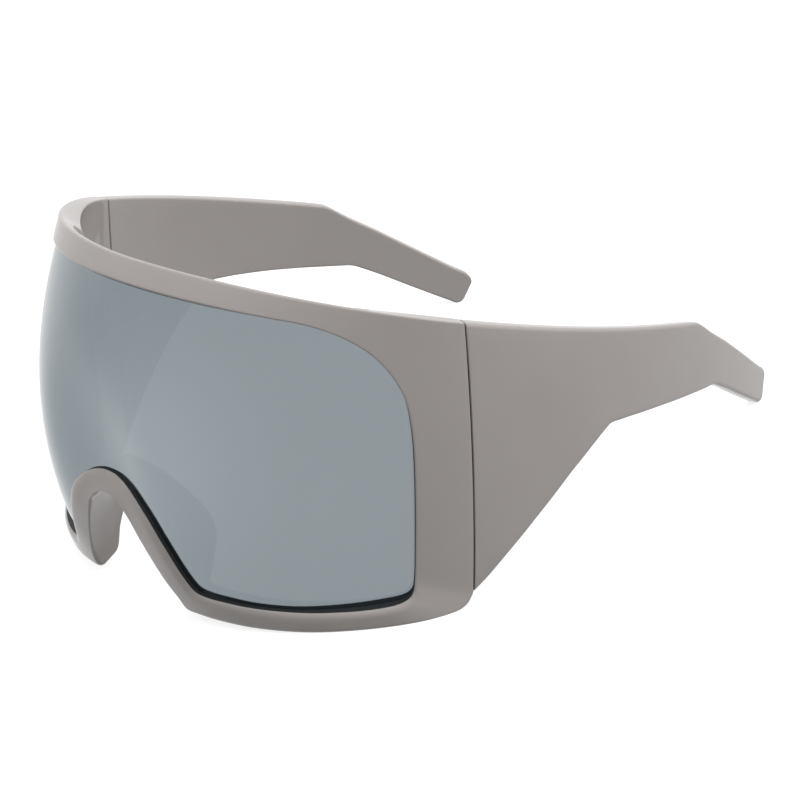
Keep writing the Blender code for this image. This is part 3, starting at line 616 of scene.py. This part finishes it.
def shield_lens(materials):
    outline = []
    for row in ring_rows():
        start, end, width = ring_ends(row)
        at = end + (start - end) * ((GROOVE_DEPTH - GAP) / width)
        outline.append((at.x, at.y))
    widest = max(range(len(outline)), key=lambda k: outline[k][0])
    top = outline[:widest + 1]
    bottom = outline[widest:][::-1]
    limit = outline[widest][0]
    edges = []
    for number in range(LENS_COLUMNS + 1):
        share = limit * (1 - (1 - number / LENS_COLUMNS) ** LENS_SPREAD)
        edges.append([share, crossing(top, share), crossing(bottom, share)])
    for k in (1, 2):
        edges[-1][k] += (edges[-2][k] - edges[-1][k]) * LENS_END_SHARE

    bm = bmesh.new()
    bmesh.ops.create_grid(bm, x_segments=LENS_COLUMNS, y_segments=LENS_ROWS, size=0.5)
    share_mark = bm.verts.layers.float.new("share")
    drop_mark = bm.verts.layers.float.new("drop")
    for vertex in bm.verts:
        share, high, low = edges[round((vertex.co.x + 0.5) * LENS_COLUMNS)]
        z = high + (low - high) * (vertex.co.y + 0.5)
        vertex[share_mark] = share
        vertex[drop_mark] = z
        vertex.co = front_point(share, z, lens_height(share, z))
    grown = bmesh.ops.extrude_face_region(bm, geom=bm.faces[:], use_keep_orig=True)
    for item in grown["geom"]:
        if isinstance(item, bmesh.types.BMFace):
            item.material_index = 1
        if isinstance(item, bmesh.types.BMVert):
            share = item[share_mark]
            z = item[drop_mark]
            item.co = front_point(share, z, lens_height(share, z) - LENS_THICKNESS)
    for vertex in bm.verts:
        if abs(vertex.co.x) < 2 * TINY:
            vertex.co.x = 0
    middle = [face for face in bm.faces if all(vertex.co.x == 0 for vertex in face.verts)]
    bmesh.ops.delete(bm, geom=middle, context="FACES")
    bmesh.ops.mirror(bm, geom=bm.verts[:] + bm.edges[:] + bm.faces[:], axis="X",
                     merge_dist=TINY)
    return finished(bm, "mirror_shield", materials, "front", ["shield_lens"])


# Temples

def temple_rows():
    places = sorted(set(even_places(TEMPLE_SHARES, TEMPLE_STEPS)) | set(SEAM_END_ROWS))
    columns = [straight_column(TEMPLE_SHARES, k, places) for k in range(5)]
    return list(zip(*columns))


def temple_ends(row):
    high = Vector((row[0] * TEMPLE_LENGTH, -max(row[1], 0.0) * TIP_DROP))
    low = Vector((row[2] * TEMPLE_LENGTH, -row[3] * SEAM_HEIGHT - row[4] * TIP_DROP))
    high.x = max(high.x, GAP / 2)
    low.x = max(low.x, GAP / 2)
    return high, low


def rounding(distance, radius):
    """How far a rounded edge lies under the face at a distance from the edge."""
    part = min(distance / radius, 1.0) - 1.0
    return radius * (1 - math.sqrt(max(1 - part * part, 0.0)))


def temple_section(row, last_row):
    high, low = temple_ends(row)
    length = (low - high).length
    wall = WALL + (TIP_WALL - WALL) * row[2]
    end_high, end_low = temple_ends(last_row)
    to_tip = ((end_high + end_low) / 2 - (high + low) / 2).length
    thin = max(rounding(to_tip, TEMPLE_ROUND), rounding(high.x - GAP / 2, SEAM_ROUND))
    radius = min(TEMPLE_ROUND, wall / 2 - thin)
    inside = min(TEMPLE_INNER_ROUND, wall / 2 - thin)
    corners = (
        (0, -thin, radius, radius, 6, FACE_RUN),
        (length, -thin, radius, radius, 6, (0.5,)),
        (length, thin - wall, inside, inside, 6, FACE_RUN),
        (0, thin - wall, inside, inside, 6, (0.5,)),
    )
    laid = []
    for across, height in softened(corners):
        at = high + (low - high) * (across / length)
        laid.append(temple_point(at.x, at.y, height))
    return laid


def temple(side, materials):
    rows = temple_rows()
    bm = laid_grid([temple_section(row, rows[-1]) for row in rows])
    bmesh.ops.remove_doubles(bm, verts=bm.verts, dist=TINY)
    caps = bmesh.ops.holes_fill(bm, edges=[e for e in bm.edges if e.is_boundary])["faces"]
    bmesh.ops.triangulate(bm, faces=caps, ngon_method="BEAUTY")
    plinth(bm, 1)
    stood_on_table(bm)
    if side == "right":
        bmesh.ops.scale(bm, vec=(-1, 1, 1), verts=bm.verts)
    return finished(bm, side + "_temple_moulding", materials, side + "_arm",
                    [side + "_temple"])


# Hinge hardware, drawn on its axis: X outward, Y back along the temple, Z up the axis

def drawn_outline(bm, points):
    """A closed line of edges through the points."""
    loop = bmesh.ops.create_circle(bm, segments=len(points), radius=1.0)["verts"]
    for vertex, point in zip(loop, points):
        vertex.co = point
    return list({edge for vertex in loop for edge in vertex.link_edges})


def arc(across, up, radius, depth, angles):
    return [(across + radius * math.cos(angle), up + radius * math.sin(angle), depth)
            for angle in angles]


def circle_points(across, up, radius, depth):
    angles = [2 * math.pi * k / ROUND_SIDES for k in range(ROUND_SIDES)]
    return arc(across, up, radius, depth, angles)


def rounded_points(low, high, radius, depth):
    """A rectangle with round corners between two corners."""
    centres = ((high[0] - radius, high[1] - radius), (low[0] + radius, high[1] - radius),
               (low[0] + radius, low[1] + radius), (high[0] - radius, low[1] + radius))
    points = []
    for quarter, (across, up) in enumerate(centres):
        angles = [math.pi / 2 * (quarter + k / CORNER_STEPS) for k in range(CORNER_STEPS + 1)]
        points += arc(across, up, radius, depth, angles)
    return points


def cross_points(arm, half, depth):
    """The outline of a cross recess."""
    quarter = ((arm, -half), (arm, half), (half, half))
    points = []
    for turn in range(4):
        for across, up in quarter:
            for _ in range(turn):
                across, up = -up, across
            points.append((across, up, depth))
    return points


def turned(bm, profile, closed):
    """Spins a profile of (radius, height) round Z."""
    points = [bm.verts.new((radius, 0, height)) for radius, height in profile]
    pairs = list(zip(points[:-1], points[1:]))
    if closed:
        pairs.append((points[-1], points[0]))
    edges = [bm.edges.new(pair) for pair in pairs]
    bmesh.ops.spin(bm, geom=points + edges, axis=(0, 0, 1), cent=(0, 0, 0),
                   steps=ROUND_SIDES, angle=2 * math.pi, use_merge=True)


def headed_pin(radius, head_radius, head_height, length, recess, recess_depth):
    """A screw: its head stands on Z = 0, its shank runs down."""
    bm = bmesh.new()
    head = [(head_radius * across, head_height * up) for across, up in HEAD_PROFILE]
    turned(bm, head + [(head_radius, CHAMFER / 2), (head_radius - CHAMFER / 2, 0), (radius, 0),
                       (radius, CHAMFER - length), (radius - CHAMFER, -length)], False)
    rims = [edge for edge in bm.edges if edge.is_boundary]
    top = [edge for edge in rims if edge.verts[0].co.z > 0]
    bmesh.ops.contextual_create(bm, geom=[edge for edge in rims if edge not in top])
    mouth = drawn_outline(bm, recess)
    bmesh.ops.triangle_fill(bm, edges=top + mouth, normal=(0, 0, 1))
    sunk = bmesh.ops.extrude_edge_only(bm, edges=mouth)["geom"]
    low = [item for item in sunk if isinstance(item, bmesh.types.BMVert)]
    bmesh.ops.translate(bm, verts=low, vec=(0, 0, -recess_depth))
    bmesh.ops.scale(bm, verts=low, vec=(RECESS_TAPER, RECESS_TAPER, 1))
    floor = [item for item in sunk if isinstance(item, bmesh.types.BMEdge)]
    floor = [edge for edge in floor if all(vertex in low for vertex in edge.verts)]
    bmesh.ops.contextual_create(bm, geom=floor)
    return bm


def knuckle_span(number):
    low = -HINGE_HEIGHT / 2 + number * (KNUCKLE_HEIGHT + GAP)
    return low, low + KNUCKLE_HEIGHT


def leaf(side, numbers):
    """A hinge leaf; side -1 is the front's, +1 the temple's."""
    bm = bmesh.new()
    ends = sorted((side * LEAF_START, side * (LEAF_START + LEAF_LENGTH)))
    edges = drawn_outline(bm, rounded_points((ends[0], -HINGE_HEIGHT / 2),
                                             (ends[1], HINGE_HEIGHT / 2), LEAF_CORNER, 0))
    for up in (SCREW_SPACING / 2, -SCREW_SPACING / 2):
        edges += drawn_outline(bm, circle_points(side * SCREW_BACK, up, SCREW_HOLE_RADIUS, 0))
    bmesh.ops.triangle_fill(bm, edges=edges, normal=(0, 0, 1))
    grown = bmesh.ops.extrude_face_region(bm, geom=bm.faces[:], use_keep_orig=True)
    lifted = [item for item in grown["geom"] if isinstance(item, bmesh.types.BMVert)]
    bmesh.ops.translate(bm, verts=lifted, vec=(0, 0, LEAF_THICKNESS))
    rims = [edge for edge in bm.edges if edge.calc_face_angle(0) > SHARP_ANGLE
            and abs(edge.verts[0].co.z - edge.verts[1].co.z) < TINY]
    bmesh.ops.bevel(bm, geom=rims, offset=CHAMFER, segments=1, profile=0.5, affect="EDGES")
    upright = Matrix(((0, 0, 1), (1, 0, 0), (0, 1, 0))).to_4x4()
    bm.transform(Matrix.Translation((LEAF_INNER, 0, 0)) @ upright)
    for number in numbers:
        low, high = knuckle_span(number)
        turned(bm, ((BARREL_RADIUS - CHAMFER, low), (BARREL_RADIUS, low + CHAMFER),
                    (BARREL_RADIUS, high - CHAMFER), (BARREL_RADIUS - CHAMFER, high),
                    (BORE_RADIUS + CHAMFER, high), (BORE_RADIUS, high - CHAMFER),
                    (BORE_RADIUS, low + CHAMFER), (BORE_RADIUS + CHAMFER, low)), True)
        web = sorted((side * BARREL_RADIUS * WEB_START, side * (LEAF_START + WEB_OVERLAP)))
        edges = block(bm, (LEAF_INNER, web[0], low + CHAMFER / 2),
                      (LEAF_OUTER, web[1], high - CHAMFER / 2))
        bmesh.ops.bevel(bm, geom=edges, offset=CHAMFER / 2, segments=1, profile=0.5,
                        affect="EDGES")
    return bm


def hinge_piece(bm, side, name, metal, body, local=Matrix()):
    """Puts a piece that is drawn on the left hinge's axis in its place on one side."""
    bm.transform(hinge_matrix() @ local)
    if side == "right":
        bmesh.ops.scale(bm, vec=(-1, 1, 1), verts=bm.verts)
    finished(bm, side + "_" + name + "_fine", [metal], body, [side + "_" + name])


def hinge_hardware(side, leaf_metal, screw_metal):
    """Two leaves, four leaf screws and the screw through the barrels of one side."""
    inward = Matrix.Rotation(-math.pi / 2, 4, "Y")
    length = LEAF_THICKNESS + 2 * GAP + SCREW_BITE
    screws = (("upper", SCREW_SPACING / 2, UPPER_SCREW_TURN),
              ("lower", -SCREW_SPACING / 2, LOWER_SCREW_TURN))
    for owner, toward, first, body in (("front", -1, 0, "front"),
                                       ("temple", 1, 1, side + "_arm")):
        plate = leaf(toward, range(first, KNUCKLES, 2))
        hinge_piece(plate, side, owner + "_leaf", leaf_metal, body)
        for word, up, turn in screws:
            recess = cross_points(CROSS_ARM, CROSS_HALF_WIDTH, SCREW_HEAD_HEIGHT)
            screw = headed_pin(SCREW_RADIUS, SCREW_HEAD_RADIUS, SCREW_HEAD_HEIGHT, length,
                               recess, CROSS_DEPTH)
            place = Matrix.Translation((LEAF_INNER - SEAT_GAP, toward * SCREW_BACK, up))
            hinge_piece(screw, side, owner + "_leaf_screw_" + word, screw_metal, body,
                        place @ inward @ Matrix.Rotation(turn, 4, "Z"))
    slot_half = Vector((SLOT_HALF_LENGTH, SLOT_HALF_WIDTH, 0))
    recess = rounded_points(-slot_half, slot_half, SLOT_CORNER, PIN_HEAD_HEIGHT)
    seat = HINGE_HEIGHT / 2 + SEAT_GAP
    pin = headed_pin(PIN_RADIUS, PIN_HEAD_RADIUS, PIN_HEAD_HEIGHT, seat + HINGE_HEIGHT / 2,
                     recess, SLOT_DEPTH)
    hinge_piece(pin, side, "hinge_screw", screw_metal, "front",
                Matrix.Translation((0, 0, seat)) @ Matrix.Rotation(HINGE_SCREW_TURN, 4, "Z"))


# Materials

PAINTED_REFLECTION_SPOT = (0.016, -0.073, 0.041)  # centre of a painted reflection on the mirror, above the nose
PAINTED_REFLECTION_RADIUS = 0.038
PAINTED_REFLECTION_GAIN = 1.18
LEAF_BRUSHING = (1.0, 1.0, 0.12)      # draws the grain out along the hinge's axis
NO_BRUSHING = (1.0, 1.0, 1.0)


def new_material(name):
    made = bpy.data.materials.new(name)
    made.use_nodes = True
    nodes = made.node_tree.nodes
    return made, nodes, made.node_tree.links, nodes["Principled BSDF"]


def add_node(nodes, kind, **values):
    node = nodes.new(kind)
    for key, value in values.items():
        if key in node.inputs:
            node.inputs[key].default_value = value
        else:
            setattr(node, key, value)
    return node


def point_on_piece(nodes):
    return nodes.new("ShaderNodeTexCoord").outputs["Object"]


def noise(nodes, links, point, scale, detail):
    made = add_node(nodes, "ShaderNodeTexNoise", Scale=scale, Detail=detail)
    links.new(point, made.inputs["Vector"])
    return made.outputs["Fac"]


def shades(nodes, links, amount, dark, light, start=0.0, end=1.0):
    """A colour that goes from dark to light as the amount goes from start to end."""
    made = nodes.new("ShaderNodeValToRGB")
    first, last = made.color_ramp.elements
    first.position = start
    first.color = (*dark, 1)
    last.position = end
    last.color = (*light, 1)
    links.new(amount, made.inputs["Fac"])
    return made.outputs["Color"]


def spread(nodes, links, amount, low, high):
    """A value that goes from low to high as the amount goes from 0 to 1."""
    made = nodes.new("ShaderNodeMapRange")
    made.inputs["To Min"].default_value = low
    made.inputs["To Max"].default_value = high
    links.new(amount, made.inputs["Value"])
    return made.outputs["Result"]


def gloss_plastic():
    made, nodes, links, shader = new_material("warm_grey_moulding")
    point = point_on_piece(nodes)
    cloud = noise(nodes, links, point, 34.0, 3.0)
    tint = shades(nodes, links, cloud, (0.304, 0.280, 0.267), (0.322, 0.298, 0.284), 0.3, 0.7)
    links.new(tint, shader.inputs["Base Color"])
    smear = noise(nodes, links, point, 160.0, 4.0)
    links.new(spread(nodes, links, smear, 0.05, 0.10), shader.inputs["Roughness"])
    shader.inputs["IOR"].default_value = 1.5
    ripple = noise(nodes, links, point, 420.0, 1.0)
    bump = add_node(nodes, "ShaderNodeBump", Strength=0.03, Distance=0.0002)
    links.new(ripple, bump.inputs["Height"])
    links.new(bump.outputs["Normal"], shader.inputs["Normal"])
    return made


# Near-black for the wall between rim and lens: partly a black seat, partly painted shade of
# the deep gap there.
def seat_and_gap_shade():
    made, nodes, links, shader = new_material("black_seat_and_painted_gap_shade")
    grain = noise(nodes, links, point_on_piece(nodes), 900.0, 2.0)
    tint = shades(nodes, links, grain, (0.010, 0.011, 0.012), (0.022, 0.024, 0.026))
    links.new(tint, shader.inputs["Base Color"])
    shader.inputs["Roughness"].default_value = 0.55
    shader.inputs["Specular IOR Level"].default_value = 0.25
    return made


def mirror_coating():
    """A silver-blue mirror with a painted reflection: its colour is softly brighter round one
    spot.
    """
    made, nodes, links, shader = new_material("silver_blue_mirror")
    point = point_on_piece(nodes)
    cloud = noise(nodes, links, point, 9.0, 2.0)
    tint = shades(nodes, links, cloud, (0.252, 0.287, 0.311), (0.267, 0.305, 0.327), 0.3, 0.7)
    # painted reflection: the mirror's colour is raised round a spot above the nose
    away = add_node(nodes, "ShaderNodeVectorMath", operation="DISTANCE")
    links.new(point, away.inputs[0])
    away.inputs[1].default_value = PAINTED_REFLECTION_SPOT
    painted_reflection = add_node(nodes, "ShaderNodeMapRange", interpolation_type="SMOOTHSTEP")
    painted_reflection.inputs["From Max"].default_value = PAINTED_REFLECTION_RADIUS
    painted_reflection.inputs["To Min"].default_value = PAINTED_REFLECTION_GAIN
    painted_reflection.inputs["To Max"].default_value = 1.0
    links.new(away.outputs["Value"], painted_reflection.inputs["Value"])
    tint_with_painted_reflection = add_node(nodes, "ShaderNodeVectorMath", operation="SCALE")
    links.new(tint, tint_with_painted_reflection.inputs[0])
    links.new(painted_reflection.outputs["Result"], tint_with_painted_reflection.inputs["Scale"])
    links.new(tint_with_painted_reflection.outputs["Vector"], shader.inputs["Base Color"])
    shader.inputs["Metallic"].default_value = 1.0
    shader.inputs["Roughness"].default_value = 0.07
    shader.inputs["Alpha"].default_value = 0.93
    return made


def smoke_tint():
    made, nodes, links, shader = new_material("smoke_lens_back")
    cloud = noise(nodes, links, point_on_piece(nodes), 12.0, 2.0)
    tint = shades(nodes, links, cloud, (0.016, 0.017, 0.018), (0.026, 0.028, 0.030))
    links.new(tint, shader.inputs["Base Color"])
    shader.inputs["Roughness"].default_value = 0.06
    shader.inputs["IOR"].default_value = 1.58
    shader.inputs["Alpha"].default_value = 0.58
    return made


def hinge_metal(name, light, roughness, brushing):
    made, nodes, links, shader = new_material(name)
    lie = nodes.new("ShaderNodeMapping")
    lie.inputs["Scale"].default_value = brushing
    links.new(point_on_piece(nodes), lie.inputs["Vector"])
    grain = noise(nodes, links, lie.outputs["Vector"], 700.0, 4.0)
    tint = shades(nodes, links, grain, (light * 0.86, light * 0.86, light * 0.87),
                  (light * 1.05, light * 1.05, light * 1.06))
    links.new(tint, shader.inputs["Base Color"])
    rough = spread(nodes, links, grain, roughness * 0.8, roughness * 1.3)
    links.new(rough, shader.inputs["Roughness"])
    shader.inputs["Metallic"].default_value = 1.0
    return made


# Studio

WHITE = (1.0, 1.0, 1.0, 1.0)
FLOOR_LIGHT = 0.30
FLOOR_GLOW = 0.82
FLOOR_HALF_SIZE = 4.0
ROOM_LIGHT = 0.50

# The photograph's point of view; angles in degrees
CAMERA_PLACE = (0.52526, -0.37533, 0.33120)
CAMERA_SWING = 53.872   # round the glasses, from straight in front
CAMERA_TILT = 63.994    # up from looking straight down
CAMERA_ROLL = -10.152
FOCAL_LENGTH = 134.187  # in mm, like the sensor
SENSOR_WIDTH = 36.0


def largest(nodes, links, first, second):
    join = add_node(nodes, "ShaderNodeMath", operation="MAXIMUM")
    links.new(first, join.inputs[0])
    links.new(second, join.inputs[1])
    return join.outputs[0]


def mirrored_rays(nodes, links, path):
    """1 for what metal and glass show, and 0 for the camera and for diffuse light."""
    glossy = path.outputs["Is Glossy Ray"]
    return largest(nodes, links, glossy, path.outputs["Is Transmission Ray"])


def studio_world():
    world = bpy.data.worlds.new("studio")
    bpy.context.scene.world = world
    world.use_nodes = True
    nodes = world.node_tree.nodes
    links = world.node_tree.links
    light = nodes["Background"]
    light.inputs["Color"].default_value = WHITE
    light.inputs["Strength"].default_value = ROOM_LIGHT
    backdrop = add_node(nodes, "ShaderNodeBackground", Color=WHITE, Strength=1.0)
    path = nodes.new("ShaderNodeLightPath")
    mirrored = mirrored_rays(nodes, links, path)
    mix = nodes.new("ShaderNodeMixShader")
    seen = largest(nodes, links, mirrored, path.outputs["Is Camera Ray"])
    links.new(seen, mix.inputs["Fac"])
    links.new(light.outputs[0], mix.inputs[1])
    links.new(backdrop.outputs[0], mix.inputs[2])
    links.new(mix.outputs[0], nodes["World Output"].inputs["Surface"])


def studio_floor():
    bm = bmesh.new()
    bmesh.ops.create_grid(bm, x_segments=1, y_segments=1, size=FLOOR_HALF_SIZE)
    mesh = bpy.data.meshes.new("studio_floor")
    bm.to_mesh(mesh)
    bm.free()
    floor = bpy.data.objects.new("studio_floor", mesh)
    bpy.context.scene.collection.objects.link(floor)
    made, nodes, links, shader = new_material("white_table")
    shader.inputs["Base Color"].default_value = (FLOOR_LIGHT, FLOOR_LIGHT, FLOOR_LIGHT, 1)
    shader.inputs["Roughness"].default_value = 0.9
    shader.inputs["Specular IOR Level"].default_value = 0.0
    shader.inputs["Emission Color"].default_value = WHITE
    path = nodes.new("ShaderNodeLightPath")
    glow = add_node(nodes, "ShaderNodeMath", operation="MULTIPLY")
    glow.inputs[1].default_value = FLOOR_GLOW
    links.new(path.outputs["Is Camera Ray"], glow.inputs[0])
    links.new(glow.outputs[0], shader.inputs["Emission Strength"])
    white = add_node(nodes, "ShaderNodeEmission", Color=WHITE, Strength=1.0)
    mix = nodes.new("ShaderNodeMixShader")
    links.new(mirrored_rays(nodes, links, path), mix.inputs["Fac"])
    links.new(shader.outputs[0], mix.inputs[1])
    links.new(white.outputs[0], mix.inputs[2])
    links.new(mix.outputs[0], nodes["Material Output"].inputs["Surface"])
    mesh.materials.append(made)


def area_light(name, place, aim, size, power):
    """A lamp that lights the glasses and isn't seen in the mirror lens."""
    data = bpy.data.lights.new(name, "AREA")
    data.shape = "RECTANGLE"
    data.size, data.size_y = size
    data.energy = power
    lamp = bpy.data.objects.new(name, data)
    bpy.context.scene.collection.objects.link(lamp)
    lamp.location = place
    lamp.visible_glossy = False
    lamp.rotation_euler = (Vector(aim) - Vector(place)).to_track_quat("-Z", "Y").to_euler()


def studio_camera():
    """Stands where the photograph was taken, with its slight roll."""
    data = bpy.data.cameras.new("camera")
    data.lens = FOCAL_LENGTH
    data.sensor_width = SENSOR_WIDTH
    data.clip_start = 0.01
    data.clip_end = 20.0
    camera = bpy.data.objects.new("camera", data)
    bpy.context.scene.collection.objects.link(camera)
    swing = Matrix.Rotation(math.radians(CAMERA_SWING), 4, "Z")
    tilt = Matrix.Rotation(math.radians(CAMERA_TILT), 4, "X")
    roll = Matrix.Rotation(math.radians(CAMERA_ROLL), 4, "Z")
    camera.matrix_world = Matrix.Translation(CAMERA_PLACE) @ swing @ tilt @ roll
    bpy.context.scene.camera = camera


# Putting it together

plastic = gloss_plastic()
front_frame([plastic, seat_and_gap_shade()])
shield_lens([mirror_coating(), smoke_tint()])
for side in ("left", "right"):
    temple(side, [plastic])

leaf_metal = hinge_metal("satin_nickel_silver", 0.36, 0.36, LEAF_BRUSHING)
screw_metal = hinge_metal("plated_steel", 0.46, 0.24, NO_BRUSHING)
for side in ("left", "right"):
    hinge_hardware(side, leaf_metal, screw_metal)

studio_world()
studio_floor()
area_light("overhead", (0.1, 0.05, 0.9), (0, 0, 0), (0.9, 0.9), 5.1)
area_light("left_wall", (-0.75, -0.6, 0.6), (0, 0, 0.03), (0.6, 0.6), 3.5)
area_light("right_wall", (0.72, 0.42, 0.80), (0, 0, 0.03), (0.6, 0.6), 8.0)
studio_camera()

bpy.context.scene.view_settings.view_transform = "Standard"
